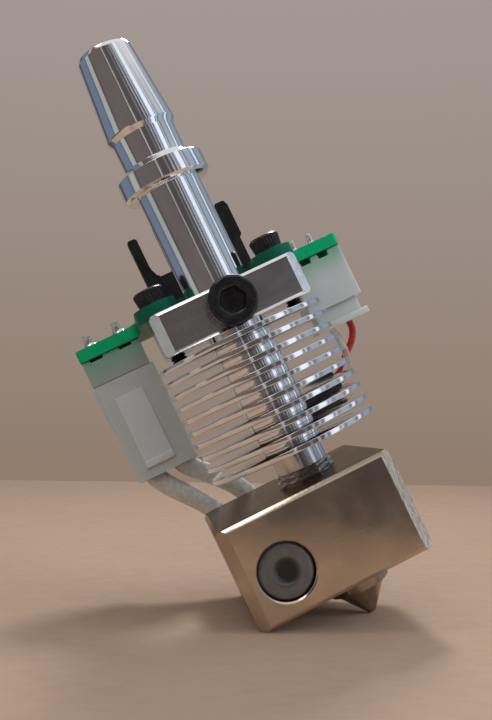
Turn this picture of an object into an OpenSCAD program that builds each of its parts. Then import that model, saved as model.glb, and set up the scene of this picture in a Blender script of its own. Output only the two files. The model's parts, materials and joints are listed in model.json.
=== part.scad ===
// Hotend assembly for a 3D printer: a turned stem in a clamp block, a finned heatsink,
// a heat break, a heater block with its nozzle, and a small circuit board with two plugs.
// Millimetres, +Z up along the filament path. The origin is on that axis, in the plane
// of the stem flange's lower face. -Y is the side with the clamp screw's head.

/* [Stem] */
// Radius of the stem's plain tube and of its neck
stem_r = 3.875; // [3.7:0.025:4]
// Radius of the flange
flange_r = 5.35; // [5:0.05:6]
// Height of the flange's cylinder
flange_h = 2.5; // [2:0.1:3]
// Radius of the cone at its wide lower end
cone_base_r = 4.27; // [4.2:0.01:4.6]
// Radius of the cone at its narrow upper end
cone_top_r = 3.4; // [3.2:0.05:3.6]
// Height of the cone's straight flank
cone_h = 9.75; // [8:0.25:12]

/* [Heatsink] */
// Number of fins
fin_count = 10; // [6:1:10]
// Radius of each fin
fin_r = 10.3; // [9:0.1:10.5]
// Thickness of each fin
fin_t = 0.6; // [0.5:0.05:0.8]
// Distance from one fin to the next
fin_pitch = 1.515; // [1.3:0.005:1.515]
// Radius of the core that the fins stand on
core_r = 3.6; // [3.4:0.05:3.7]

/* [Clamp block] */
// Width of the clamp block
clamp_w = 18; // [17.6:0.1:19]
// Height of the clamp block
clamp_h = 5; // [4.6:0.1:5.1]
// Distance from the axis to the clamp block's front face
clamp_front = 6; // [5.8:0.1:6.4]
// Distance from the axis to the clamp block's back face
clamp_back = 4.5; // [4.4:0.1:4.7]

/* [Heater block] */
// Width of the heater block
block_w = 20.6; // [20:0.1:22]
// Depth of the heater block, along the cartridge
block_d = 22.5; // [22:0.1:24]
// Height of the heater block
block_h = 11.4; // [11.2:0.1:12]
// Distance of the cartridge's axis to the left of the nozzle
cartridge_x = 7.6; // [7.4:0.1:7.8]
// Radius of the heater cartridge
cartridge_r = 3; // [2.8:0.05:3]

/* [Circuit board] */
// Overall width of the circuit board
board_w = 36.8; // [36.8:0.1:39]
// Thickness of the circuit board
board_t = 1.6; // [1.4:0.1:1.6]
// Distance of each board screw from the axis
board_screw_x = 7.5; // [7.2:0.05:7.5]

/* [Leads] */
// Radius of a heater lead in its glass-fibre sleeve
heater_lead_r = 1.3; // [1:0.05:1.3]
// Radius of a temperature sensor lead
sensor_lead_r = 0.45; // [0.4:0.05:0.55]

/* [Hidden] */
$fn = 96;

// Gap left between two pieces that are fitted together
fit_gap = 0.03;
// Overrun of a cutting shape past the face it cuts
cut = 0.5;

// Heights on the stem, from the flange's lower face up
flange_bevel = 0.35;
flange_cone_top = flange_h + 0.9;
neck_h = 3.4;
neck_top = flange_cone_top + neck_h;
cone_bottom = neck_top + 0.65;
cone_top = cone_bottom + cone_h;
stem_top = cone_top + 0.7;
stem_rim_r = cone_top_r - 0.55;

// Filament path
filament_r = 1;
liner_r = 2;
liner_bore_r = liner_r + 0.05;
liner_top = stem_top - 0.9;

// Round spigot of the stem in the heatsink's core
spigot_r = 2.9;

// Heights below the flange
board_bottom = -13.2;
board_top = board_bottom + board_t;
clamp_top = board_bottom;
clamp_bottom = clamp_top - clamp_h;
stem_bottom = clamp_top - 4.3;
core_top = stem_bottom - 0.1;
spigot_bottom = core_top - 3;
first_fin_top = clamp_top - 5.85;
heatsink_bottom = first_fin_top - fin_t - (fin_count - 1) * fin_pitch;
block_top = -37;
block_bottom = block_top - block_h;

// Heat break
break_spigot_r = 2.1;
break_spigot_top = -24;
break_barrel_r = 3.1;
collar_h = 1.25;
collar_flats = 6.2;
break_thread_r = 2.97;
break_bottom = block_top - 5;

// Clamp screw, a size M3 cap screw
clamp_screw_z = clamp_top - 2.45;
clamp_screw_r = 1.5;
clamp_screw_head_r = 2.75;
clamp_screw_head_h = 3;
clamp_screw_tip = -2.95;
screw_clearance = 0.06;

// Board screws, size M2 cap screws
board_screw_r = 1;
board_screw_head_r = 1.85;
board_screw_head_h = 1.9;
board_screw_length = 7.4;

// Heater block's holes
block_left = -12.75;
block_front = -11;
block_back = block_front + block_d;
cartridge_z = block_top - 6.7;
cartridge_hole_r = 3.1;
cartridge_front = block_front + 0.25;
cartridge_length = 20;
sensor_x = 5.2;
sensor_z = block_top - 7;
sensor_r = 1.5;
sensor_hole_r = 1.55;
sensor_back = block_back - 2.5;
sensor_length = 13;
lock_screw_r = 1.5;

// Lock screws under the heater block: X, Y, then the height of the hole's end
lock_screws = [
    [-cartridge_x, 1, cartridge_z - cartridge_hole_r + 1],
    [sensor_x, 3, sensor_z - sensor_hole_r + 0.5]
];

// Nozzle with an M6 thread and a 7 mm hexagon
nozzle_thread_r = 2.97;
nozzle_hole_r = 3.03;
nozzle_top = break_bottom - 0.05;
nozzle_hex_top = block_bottom - 0.05;
nozzle_hex_bottom = block_bottom - 2.7;
nozzle_cone_r = 3.05;
nozzle_tip_r = 0.5;
nozzle_tip = block_bottom - 6;
orifice_r = 0.2;

// Circuit board's plan
board_front = 10.5;
board_back = 19.5;
board_body_x = 10.05;
board_body_front = 5;
board_arm_r = 2.55;
board_fillet_r = 2.2;

// Locating fork that stands on the board behind the stem
fork_y = 8;
fork_d = 2;
fork_pegs = [-4.8, 5.6];
fork_peg_r = 0.65;
fork_top = -2.3;

// Power connector, with its contacts 3.96 mm apart
power_x = -14.35;
power_pitch = 3.96;
power_front = 10.9;
power_y = 13.9;
power_pin = 1.14;
power_pin_stand = 1.8;
power_header_w = 7.85;
power_header_d = 8.1;
power_header_bottom = board_bottom - 3.5;
power_plug_top = power_header_bottom - 0.05;
power_plug_bottom = -30;
power_contact_bottom = -25;

// Signal connector, with its contacts 2.5 mm apart
signal_x = 14.55;
signal_pitch = 2.5;
signal_front = 10.9;
signal_y = 13.8;
signal_pin = 0.64;
signal_pin_stand = 1.5;
signal_header_w = 7.5;
signal_header_d = 5.75;
signal_header_bottom = board_bottom - 7;
signal_plug_top = board_bottom - 2;
signal_plug_bottom = -22.9;
signal_contact_bottom = -20;

// Black sleeve that gathers the sensor's leads
sleeve_r = 1.85;
sleeve_bore_r = 1.35;
sleeve_right = [10.6, 13, -29.2];
sleeve_left = [1.2, 13, -31];

// Centre lines of the leads, from each plug to the heater block
heater_lead_left_path = [
    [-16.33, 13.9, -25.2],
    [-16.33, 13.9, -28.6],
    [-15.9, 13.9, -30.4],
    [-14.9, 14, -32.1],
    [-13.5, 14.1, -33.9],
    [-12.1, 14.2, -35.7],
    [-10.9, 14.3, -37.7],
    [-9.9, 14.3, -39.9],
    [-9.2, 14.1, -41.9],
    [-8.95, 13.4, -43.2],
    [-8.95, 12.2, -43.7],
    [-8.95, 9.5, -43.7]
];
heater_lead_right_path = [
    [-12.37, 13.9, -25.2],
    [-12.37, 13.9, -28.6],
    [-11.9, 13.9, -30.4],
    [-10.5, 14, -32],
    [-8.8, 14.1, -33.8],
    [-7.2, 14.2, -35.8],
    [-6.1, 14.3, -38],
    [-5.7, 14.3, -40.2],
    [-5.8, 14.1, -42],
    [-6.25, 13.4, -43.2],
    [-6.25, 12.2, -43.7],
    [-6.25, 9.5, -43.7]
];
sensor_lead_right_path = [
    [15.8, 13.8, -20.2],
    [15.8, 13.8, -23],
    [15.65, 13.7, -24.2],
    [14.8, 13.6, -25.5],
    [13.2, 13.5, -26.9],
    [12, 13.4, -28.2],
    [10.6, 13.4, -28.8],
    [7.5, 13.4, -29.4],
    [3.5, 13.4, -30.15],
    [1.2, 13.4, -30.6],
    [-0.5, 13.6, -31.3],
    [-1.4, 14, -33.2],
    [-1, 14.3, -35.8],
    [0.6, 14.4, -38.6],
    [2.6, 14.3, -41.1],
    [4.1, 13.9, -42.9],
    [4.48, 12.9, -43.9],
    [4.48, 9.2, -44]
];
sensor_lead_left_path = [
    [13.3, 13.8, -20.2],
    [13.3, 13.8, -23],
    [13.4, 13.2, -24.4],
    [13.3, 12.4, -25.9],
    [12.95, 12.05, -27.3],
    [12.1, 12.05, -28.6],
    [10.6, 12.6, -29.65],
    [7.5, 12.6, -30.25],
    [3.5, 12.6, -31],
    [1.2, 12.6, -31.45],
    [0.3, 12.9, -32.4],
    [0.2, 13.4, -34.2],
    [1, 13.8, -36.6],
    [2.7, 14, -39.2],
    [4.5, 13.9, -41.5],
    [5.7, 13.5, -43.1],
    [5.92, 12.6, -43.9],
    [5.92, 9.2, -44]
];

function unit(v) = v / norm(v);

function tangents(path) = [
    for (i = [0:len(path) - 1])
        unit(path[min(i + 1, len(path) - 1)] - path[max(i - 1, 0)])
];

function carried(n, t) = unit(n - (n * t) * t);

function normals(ts, i = 0, found = []) =
    i == len(ts)
        ? found
        : normals(ts, i + 1, concat(found, [carried(i == 0 ? [0, 1, 0] : found[i - 1], ts[i])]));

// Closed tube of eight sides along a path of points
module lead(path, r) {
    sides = 8;
    ts = tangents(path);
    ns = normals(ts);
    rings = len(path);
    points = [
        for (i = [0:rings - 1])
            for (k = [0:sides - 1])
                path[i] + r * (cos(k * 360 / sides) * ns[i] + sin(k * 360 / sides) * cross(ts[i], ns[i]))
    ];
    walls = [
        for (i = [0:rings - 2])
            for (k = [0:sides - 1])
                let (a = i * sides + k, b = i * sides + (k + 1) % sides)
                    for (f = [[a, a + sides, b], [b, a + sides, b + sides]])
                        f
    ];
    start_cap = [[for (k = [0:sides - 1]) k]];
    end_cap = [[for (k = [sides - 1:-1:0]) (rings - 1) * sides + k]];
    polyhedron(points, concat(walls, start_cap, end_cap));
}

// Rectangle with cut corners, centred
module cut_rectangle(w, h, c) {
    polygon([
        [c - w / 2, -h / 2],
        [w / 2 - c, -h / 2],
        [w / 2, c - h / 2],
        [w / 2, h / 2 - c],
        [w / 2 - c, h / 2],
        [c - w / 2, h / 2],
        [-w / 2, h / 2 - c],
        [-w / 2, c - h / 2]
    ]);
}

// Block with cut upright corners and a bevel round its top and bottom faces, centred
module bevelled_block(w, d, h, corner, bevel) {
    intersection() {
        translate([0, 0, -h / 2])
            linear_extrude(h)
                cut_rectangle(w, d, corner);
        translate([0, d / 2, 0])
            rotate([90, 0, 0])
                linear_extrude(d)
                    cut_rectangle(w, h, bevel);
        translate([-w / 2, 0, 0])
            rotate([90, 0, 90])
                linear_extrude(w)
                    cut_rectangle(d, h, bevel);
    }
}

module box(low, high) {
    translate(low)
        cube(high - low);
}

// Upright cylinder between two heights
module post(r, low, high) {
    translate([0, 0, low])
        cylinder(r = r, h = high - low);
}

// Hexagon prism between two heights, measured across its flats
module hexagon(flats, low, high) {
    translate([0, 0, low])
        cylinder(d = flats / cos(30), h = high - low, $fn = 6);
}

module stem() {
    color([0.86, 0.87, 0.88])
        difference() {
            rotate_extrude()
                polygon([
                    [liner_bore_r, spigot_bottom],
                    [spigot_r - 0.2, spigot_bottom],
                    [spigot_r, spigot_bottom + 0.2],
                    [spigot_r, stem_bottom],
                    [stem_r - 0.2, stem_bottom],
                    [stem_r, stem_bottom + 0.2],
                    [stem_r, 0],
                    [flange_r - flange_bevel, 0],
                    [flange_r, flange_bevel],
                    [flange_r, flange_h],
                    [stem_r, flange_cone_top],
                    [stem_r, neck_top],
                    [cone_base_r - 0.05, cone_bottom - 0.05],
                    [cone_base_r, cone_bottom + 0.1],
                    [cone_top_r, cone_top],
                    [cone_top_r - 0.2, cone_top + 0.45],
                    [stem_rim_r, stem_top],
                    [liner_bore_r + 0.5, stem_top],
                    [liner_bore_r, stem_top - 0.5]
                ]);
            // dimple for the clamp screw's tip
            translate([0, clamp_screw_tip + 0.05, clamp_screw_z])
                rotate([90, 0, 0])
                    cylinder(r = clamp_screw_r + 0.1, h = stem_r);
        }
}

module liner_tube() {
    color([0.93, 0.93, 0.9])
        difference() {
            post(liner_r, break_spigot_top + 0.05, liner_top);
            post(filament_r, break_spigot_top - cut, liner_top + cut);
        }
}

module clamp_block() {
    color([0.8, 0.81, 0.83])
        difference() {
            translate([0, (clamp_back - clamp_front) / 2, clamp_top - clamp_h / 2])
                bevelled_block(clamp_w, clamp_front + clamp_back, clamp_h, 1.15, 0.35);
            post(stem_r + fit_gap, stem_bottom - 0.05, clamp_top + cut);
            post(core_r + fit_gap, clamp_bottom - cut, stem_bottom);
            translate([0, 0, clamp_screw_z])
                rotate([90, 0, 0])
                    cylinder(r = clamp_screw_r + screw_clearance, h = clamp_front + cut);
            for (x = [-board_screw_x, board_screw_x])
                translate([x, 0, 0])
                    post(board_screw_r + screw_clearance, clamp_bottom - cut, clamp_top + cut);
        }
}

module clamp_screw() {
    color([0.06, 0.06, 0.07])
        translate([0, -clamp_front - 0.02, clamp_screw_z])
            rotate([90, 0, 0])
                difference() {
                    union() {
                        cylinder(r = clamp_screw_head_r, h = clamp_screw_head_h - 0.3);
                        translate([0, 0, clamp_screw_head_h - 0.3])
                            cylinder(r1 = clamp_screw_head_r, r2 = clamp_screw_head_r - 0.3, h = 0.3);
                        post(clamp_screw_r, -clamp_front - clamp_screw_tip, 0.1);
                    }
                    hexagon(2.5, clamp_screw_head_h - 1.6, clamp_screw_head_h + cut);
                    translate([0, 0, clamp_screw_head_h - 0.2])
                        cylinder(r1 = 1.35, r2 = 1.75, h = 0.4);
                }
}

module heatsink() {
    color([0.84, 0.85, 0.87])
        difference() {
            union() {
                post(core_r, heatsink_bottom, core_top);
                for (i = [0:fin_count - 1])
                    post(fin_r, first_fin_top - fin_t - i * fin_pitch, first_fin_top - i * fin_pitch);
            }
            // socket for the stem's spigot
            post(spigot_r + fit_gap, spigot_bottom - 0.1, core_top + cut);
            post(liner_bore_r, break_spigot_top - cut, core_top + cut);
            post(break_spigot_r + fit_gap, heatsink_bottom - cut, break_spigot_top + 0.05);
        }
}

module heat_break() {
    color([0.66, 0.66, 0.67])
        difference() {
            union() {
                post(break_spigot_r, heatsink_bottom - 0.1, break_spigot_top);
                post(break_barrel_r, block_top + collar_h, heatsink_bottom - 0.02);
                hexagon(collar_flats, block_top, block_top + collar_h + 0.01);
                post(break_thread_r, break_bottom, block_top + 0.1);
            }
            post(filament_r, break_bottom - cut, break_spigot_top + cut);
        }
}

module heater_block() {
    color([0.62, 0.62, 0.6])
        difference() {
            translate([block_left + block_w / 2, block_front + block_d / 2, block_top - block_h / 2])
                bevelled_block(block_w, block_d, block_h, 1.25, 0.45);
            post(nozzle_hole_r, block_bottom - cut, block_top + cut);
            translate([-cartridge_x, block_back + cut, cartridge_z])
                rotate([90, 0, 0])
                    cylinder(r = cartridge_hole_r, h = block_d + 2 * cut);
            translate([-cartridge_x, block_front + 0.2, cartridge_z])
                rotate([90, 0, 0])
                    cylinder(r1 = cartridge_hole_r, r2 = cartridge_hole_r + 0.3, h = 0.3);
            translate([sensor_x, block_back + cut, sensor_z])
                rotate([90, 0, 0])
                    cylinder(r = sensor_hole_r, h = cut + block_back - sensor_back + sensor_length + 0.3);
            for (p = lock_screws)
                translate([p[0], p[1], 0])
                    post(lock_screw_r + screw_clearance, block_bottom - cut, p[2]);
        }
}

// Grub screw with a hexagon socket in its lower end
module grub_screw(x, y, low, high) {
    translate([x, y, 0])
        difference() {
            post(lock_screw_r, low, high);
            hexagon(1.5, low - cut, low + 0.9);
        }
}

module cartridge_lock_screw() {
    color([0.2, 0.2, 0.21])
        grub_screw(-cartridge_x, 1, block_bottom + 0.05, cartridge_z - cartridge_r - 0.06);
}

module sensor_lock_screw() {
    color([0.2, 0.2, 0.21])
        grub_screw(sensor_x, 3, block_bottom + 0.2, sensor_z - sensor_r - 0.06);
}

module heater_cartridge() {
    color([0.55, 0.57, 0.6])
        translate([-cartridge_x, cartridge_front, cartridge_z])
            rotate([-90, 0, 0])
                difference() {
                    union() {
                        cylinder(r1 = cartridge_r - 0.25, r2 = cartridge_r, h = 0.25);
                        translate([0, 0, 0.25])
                            cylinder(r = cartridge_r, h = cartridge_length - 0.25);
                    }
                    translate([0, 0, -cut])
                        cylinder(r = 1.35, h = cut + 0.3);
                }
}

module temperature_sensor() {
    color([0.7, 0.71, 0.72])
        translate([sensor_x, sensor_back - sensor_length, sensor_z])
            rotate([-90, 0, 0])
                cylinder(r = sensor_r, h = sensor_length);
}

module nozzle() {
    color([0.42, 0.36, 0.3])
        difference() {
            union() {
                post(nozzle_thread_r, nozzle_hex_top - 0.1, nozzle_top);
                hexagon(7, nozzle_hex_bottom, nozzle_hex_top);
                translate([0, 0, nozzle_tip])
                    cylinder(r1 = nozzle_tip_r, r2 = nozzle_cone_r, h = nozzle_hex_bottom - nozzle_tip + 0.01);
            }
            post(filament_r, nozzle_tip + 1.9, nozzle_top + cut);
            translate([0, 0, nozzle_tip + 1.1])
                cylinder(r1 = orifice_r, r2 = filament_r, h = 0.8);
            post(orifice_r, nozzle_tip - cut, nozzle_tip + 1.2);
        }
}

module board_outline() {
    difference() {
        union() {
            translate([-board_w / 2, board_front])
                square([board_w, board_back - board_front]);
            translate([-board_body_x, board_body_front])
                square([2 * board_body_x, board_back - board_body_front]);
            // rounded inner corners between the wings and the arms
            for (x = [-1, 1])
                difference() {
                    translate([x * (board_body_x + board_fillet_r / 2), board_front - board_fillet_r / 2 + cut])
                        square(board_fillet_r + 2 * cut, center = true);
                    translate([x * (board_body_x + board_fillet_r), board_front - board_fillet_r])
                        circle(r = board_fillet_r);
                }
            for (x = [-board_screw_x, board_screw_x]) {
                translate([x - board_arm_r, 0])
                    square([2 * board_arm_r, board_body_front + 1]);
                translate([x, 0])
                    circle(r = board_arm_r);
            }
        }
        for (x = [-board_screw_x, board_screw_x])
            translate([x, 0])
                circle(r = board_screw_r + 0.15);
        for (x = fork_pegs)
            translate([x, fork_y])
                circle(r = fork_peg_r + 0.05);
        for (x = [-1, 1])
            translate([power_x + x * power_pitch / 2, power_y])
                circle(r = 0.9);
        for (x = [-1, 1])
            translate([signal_x + x * signal_pitch / 2, signal_y])
                circle(r = 0.5);
        // small cut corners at the ends of the wings
        for (x = [-1, 1])
            translate([x * board_w / 2, board_front])
                rotate(45)
                    square(0.6, center = true);
    }
}

module circuit_board() {
    color([0.02, 0.42, 0.24])
        translate([0, 0, board_bottom])
            linear_extrude(board_t)
                board_outline();
}

module board_screw(x) {
    color([0.05, 0.05, 0.06])
        translate([x, 0, board_top + 0.02])
            difference() {
                union() {
                    cylinder(r1 = board_screw_head_r - 0.17, r2 = board_screw_head_r, h = board_screw_head_h - 0.3);
                    translate([0, 0, board_screw_head_h - 0.3])
                        cylinder(r1 = board_screw_head_r, r2 = board_screw_head_r - 0.25, h = 0.3);
                    post(board_screw_r, -board_screw_length, 0.1);
                }
                hexagon(1.5, board_screw_head_h - 1, board_screw_head_h + cut);
            }
}

module board_screw_left() {
    board_screw(-board_screw_x);
}

module board_screw_right() {
    board_screw(board_screw_x);
}

module locating_fork() {
    color([0.03, 0.03, 0.035])
        union() {
            translate([0, fork_y + fork_d / 2, board_top])
                rotate([90, 0, 0])
                    linear_extrude(fork_d)
                        polygon([
                            [-6.75, 0.02],
                            [6.35, 0.02],
                            [6.35, 4],
                            [6.7, 4.35],
                            [6.7, fork_top - board_top - 0.9],
                            [6.4, fork_top - board_top - 0.2],
                            [5.3, fork_top - board_top - 0.2],
                            [5.1, fork_top - board_top - 0.4],
                            [5.1, 1.6],
                            [4.7, 1.2],
                            [-3, 1.2],
                            [-3, 3.5],
                            [-3.2, 3.7],
                            [-4.7, 3.7],
                            [-5.1, 4.1],
                            [-5.4, 4.8],
                            [-5.5, 5.4],
                            [-5.5, fork_top - board_top - 0.2],
                            [-5.7, fork_top - board_top],
                            [-6.55, fork_top - board_top],
                            [-6.75, fork_top - board_top - 0.2]
                        ]);
            for (x = fork_pegs)
                translate([x, fork_y, 0])
                    post(fork_peg_r, board_bottom + 0.1, board_top + 0.3);
        }
}

// Square hole or pin round an upright line
module square_post(x, y, side, low, high) {
    box([x - side / 2, y - side / 2, low], [x + side / 2, y + side / 2, high]);
}

module heater_header() {
    color([0.88, 0.88, 0.84])
        difference() {
            union() {
                box([power_x - power_header_w / 2, power_front, power_header_bottom],
                    [power_x + power_header_w / 2, power_front + power_header_d, board_bottom - 0.02]);
                // tall wall behind the plug
                box([power_x - power_header_w / 2 + 0.6, power_front + power_header_d - 1.2, power_header_bottom - 7],
                    [power_x + power_header_w / 2 - 0.6, power_front + power_header_d, power_header_bottom + 0.1]);
            }
            // gaps between the feet, at the board
            for (x = [-1, 1])
                box([power_x + x * power_pitch / 2 - 0.85, power_front - cut, board_bottom - 0.4],
                    [power_x + x * power_pitch / 2 + 0.85, power_front + power_header_d + cut, board_bottom + cut]);
            for (x = [-1, 1])
                square_post(power_x + x * power_pitch / 2, power_y, power_pin + 0.06,
                    power_header_bottom - cut, board_bottom + cut);
        }
}

module heater_header_pins() {
    color([0.8, 0.79, 0.75])
        for (x = [-1, 1])
            square_post(power_x + x * power_pitch / 2, power_y, power_pin,
                power_header_bottom - 7.2, board_top + power_pin_stand);
}

module heater_plug() {
    plug_left = power_x - 3.75;
    plug_right = power_x + 4.3;
    plug_back = 17.1;
    color([0.9, 0.9, 0.87])
        difference() {
            union() {
                box([plug_left, power_front - 0.1, power_plug_bottom], [plug_right, plug_back, power_plug_top]);
                // tapered grip on the left side
                translate([plug_left, plug_back - 1, 0])
                    rotate([90, 0, 0])
                        linear_extrude(plug_back - 1.4 - power_front)
                            polygon([
                                [0.1, power_plug_top - 0.1],
                                [-0.45, power_plug_top - 0.3],
                                [-0.45, power_plug_top - 3],
                                [-0.1, power_plug_top - 6],
                                [0.1, power_plug_bottom + 3]
                            ]);
                // raised latch on the front, with a ledge at its foot
                box([power_x - 2.1, power_front - 0.4, power_plug_bottom + 2.2],
                    [power_x + 1.7, power_front, power_plug_top - 2.3]);
                box([power_x - 2.1, power_front - 0.6, power_plug_bottom + 1.3],
                    [power_x + 1.7, power_front, power_plug_bottom + 2.2]);
            }
            for (x = [-1, 1])
                translate([power_x + x * power_pitch / 2, power_y, 0]) {
                    square_post(0, 0, 2.5, power_contact_bottom - 0.1, power_plug_top + cut);
                    post(heater_lead_r + 0.12, power_plug_bottom - cut, power_contact_bottom);
                }
            // room for the leads to lean over at the mouth of the plug
            box([power_x - 3.1, power_y - 1.6, power_plug_bottom - cut],
                [power_x + 3.8, power_y + 1.6, power_plug_bottom + 1.4]);
        }
}

// Square socket contacts round the header's pins
module contacts(x0, y0, pitch, outer, pin, low, high) {
    for (x = [-1, 1])
        difference() {
            square_post(x0 + x * pitch / 2, y0, outer, low, high);
            square_post(x0 + x * pitch / 2, y0, pin + 0.06, low + 0.4, high + cut);
        }
}

module heater_plug_contacts() {
    color([0.82, 0.74, 0.5])
        contacts(power_x, power_y, power_pitch, 2.3, power_pin, power_contact_bottom, power_plug_top - 0.4);
}

module sensor_header() {
    color([0.9, 0.9, 0.86])
        difference() {
            box([signal_x - signal_header_w / 2, signal_front, signal_header_bottom],
                [signal_x + signal_header_w / 2, signal_front + signal_header_d, board_bottom - 0.02]);
            box([signal_x - 3.1, signal_front + 0.7, signal_header_bottom - cut],
                [signal_x + 3.1, signal_front + signal_header_d - 0.7, board_bottom - 1.6]);
            // gaps between the feet, at the board
            for (x = [-1, 1])
                box([signal_x + x * signal_pitch / 2 - 0.7, signal_front - cut, board_bottom - 0.75],
                    [signal_x + x * signal_pitch / 2 + 0.7, signal_front + signal_header_d + cut, board_bottom + cut]);
            for (x = [-1, 1])
                square_post(signal_x + x * signal_pitch / 2, signal_y, signal_pin + 0.06,
                    signal_header_bottom - cut, board_bottom + cut);
        }
}

module sensor_header_pins() {
    color([0.8, 0.79, 0.75])
        for (x = [-1, 1])
            square_post(signal_x + x * signal_pitch / 2, signal_y, signal_pin,
                board_bottom - 5.4, board_top + signal_pin_stand);
}

module sensor_plug() {
    color([0.9, 0.9, 0.87])
        difference() {
            union() {
                box([signal_x - 3, signal_front + 0.8, signal_plug_bottom + 0.4],
                    [signal_x + 3, signal_front + signal_header_d - 0.8, signal_plug_top]);
                box([signal_x - 3.6, signal_front + 0.3, signal_plug_bottom],
                    [signal_x + 3.7, signal_front + signal_header_d - 0.4, signal_plug_bottom + 0.85]);
            }
            for (x = [-1, 1])
                translate([signal_x + x * signal_pitch / 2, signal_y, 0]) {
                    square_post(0, 0, 1.6, signal_contact_bottom - 0.1, signal_plug_top + cut);
                    post(sensor_lead_r + 0.15, signal_plug_bottom - cut, signal_contact_bottom);
                }
        }
}

module sensor_plug_contacts() {
    color([0.82, 0.74, 0.5])
        contacts(signal_x, signal_y, signal_pitch, 1.45, signal_pin, signal_contact_bottom, signal_plug_top - 0.3);
}

// Cone of solder round a pin, standing on the board
module solder_joint(x, y, r, h, pin) {
    difference() {
        translate([x, y, board_top])
            cylinder(r1 = r, r2 = pin * 0.75, h = h);
        square_post(x, y, pin + 0.02, board_top - cut, board_top + h + cut);
    }
}

module solder_joints() {
    color([0.84, 0.84, 0.85])
        for (x = [-1, 1]) {
            solder_joint(power_x + x * power_pitch / 2, power_y, 1.15, 1.15, power_pin);
            solder_joint(signal_x + x * signal_pitch / 2, signal_y, 0.75, 0.8, signal_pin);
        }
}

module heater_lead_left() {
    color([0.78, 0.77, 0.73])
        lead(heater_lead_left_path, heater_lead_r);
}

module heater_lead_right() {
    color([0.78, 0.77, 0.73])
        lead(heater_lead_right_path, heater_lead_r);
}

module sensor_lead_right() {
    color([0.65, 0.04, 0.03])
        lead(sensor_lead_right_path, sensor_lead_r);
}

module sensor_lead_left() {
    color([0.85, 0.84, 0.8])
        lead(sensor_lead_left_path, sensor_lead_r);
}

module sensor_lead_sleeve() {
    run = sleeve_right - sleeve_left;
    color([0.03, 0.03, 0.03])
        translate(sleeve_left)
            rotate([0, atan2(norm([run[0], run[1]]), run[2]), 0])
                difference() {
                    cylinder(r = sleeve_r, h = norm(run));
                    translate([0, 0, -cut])
                        cylinder(r = sleeve_bore_r, h = norm(run) + 2 * cut);
                }
}

stem();
liner_tube();
clamp_block();
clamp_screw();
heatsink();
heat_break();
heater_block();
nozzle();
heater_cartridge();
cartridge_lock_screw();
temperature_sensor();
sensor_lock_screw();
circuit_board();
board_screw_left();
board_screw_right();
locating_fork();
heater_header();
heater_header_pins();
heater_plug();
heater_plug_contacts();
sensor_header();
sensor_header_pins();
sensor_plug();
sensor_plug_contacts();
solder_joints();
heater_lead_left();
heater_lead_right();
sensor_lead_right();
sensor_lead_left();
sensor_lead_sleeve();
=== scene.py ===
import json
import math

import bmesh
import bpy
from mathutils import Matrix, Vector, noise


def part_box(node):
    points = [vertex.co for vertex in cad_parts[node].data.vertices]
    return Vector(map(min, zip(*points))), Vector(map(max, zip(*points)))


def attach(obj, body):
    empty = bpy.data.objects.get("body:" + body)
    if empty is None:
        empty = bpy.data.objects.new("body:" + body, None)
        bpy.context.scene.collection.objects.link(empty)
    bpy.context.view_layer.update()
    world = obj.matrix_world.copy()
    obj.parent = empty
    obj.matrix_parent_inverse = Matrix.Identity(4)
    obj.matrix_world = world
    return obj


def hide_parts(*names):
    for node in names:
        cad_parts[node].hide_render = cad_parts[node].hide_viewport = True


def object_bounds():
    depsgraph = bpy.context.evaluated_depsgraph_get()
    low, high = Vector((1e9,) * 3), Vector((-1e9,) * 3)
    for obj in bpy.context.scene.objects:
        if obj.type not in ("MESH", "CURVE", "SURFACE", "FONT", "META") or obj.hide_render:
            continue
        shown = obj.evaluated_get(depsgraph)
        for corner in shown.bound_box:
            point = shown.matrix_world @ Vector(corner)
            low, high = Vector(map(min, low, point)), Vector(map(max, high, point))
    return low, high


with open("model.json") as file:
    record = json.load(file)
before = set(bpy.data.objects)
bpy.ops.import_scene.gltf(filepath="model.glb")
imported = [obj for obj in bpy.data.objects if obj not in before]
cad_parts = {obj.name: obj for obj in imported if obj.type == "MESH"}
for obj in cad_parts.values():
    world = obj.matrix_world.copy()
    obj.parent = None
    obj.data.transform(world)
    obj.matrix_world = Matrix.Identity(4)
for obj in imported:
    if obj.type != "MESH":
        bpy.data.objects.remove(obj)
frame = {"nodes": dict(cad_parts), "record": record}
NODES = frame["nodes"]
cad_low, cad_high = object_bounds()

MM = 0.001


# ---------------------------------------------------------------- camera, room and light

ROOM_TILT = math.radians(26.95)      # the object leans this far to the left on its table
CAMERA_ROLL = math.radians(25.75)
CAMERA_YAW = math.radians(6.8)
CAMERA_PITCH = math.radians(1.1)
CAMERA_PLACE = Vector((-13.34, -107.18, -24.0)) * MM
CAMERA_LENS = 46.4

ROOM_UP = Vector((math.sin(ROOM_TILT), 0, math.cos(ROOM_TILT)))
ROOM_RIGHT = Vector((math.cos(ROOM_TILT), 0, -math.sin(ROOM_TILT)))
ROOM_BACK = Vector((0, 1, 0))


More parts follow.
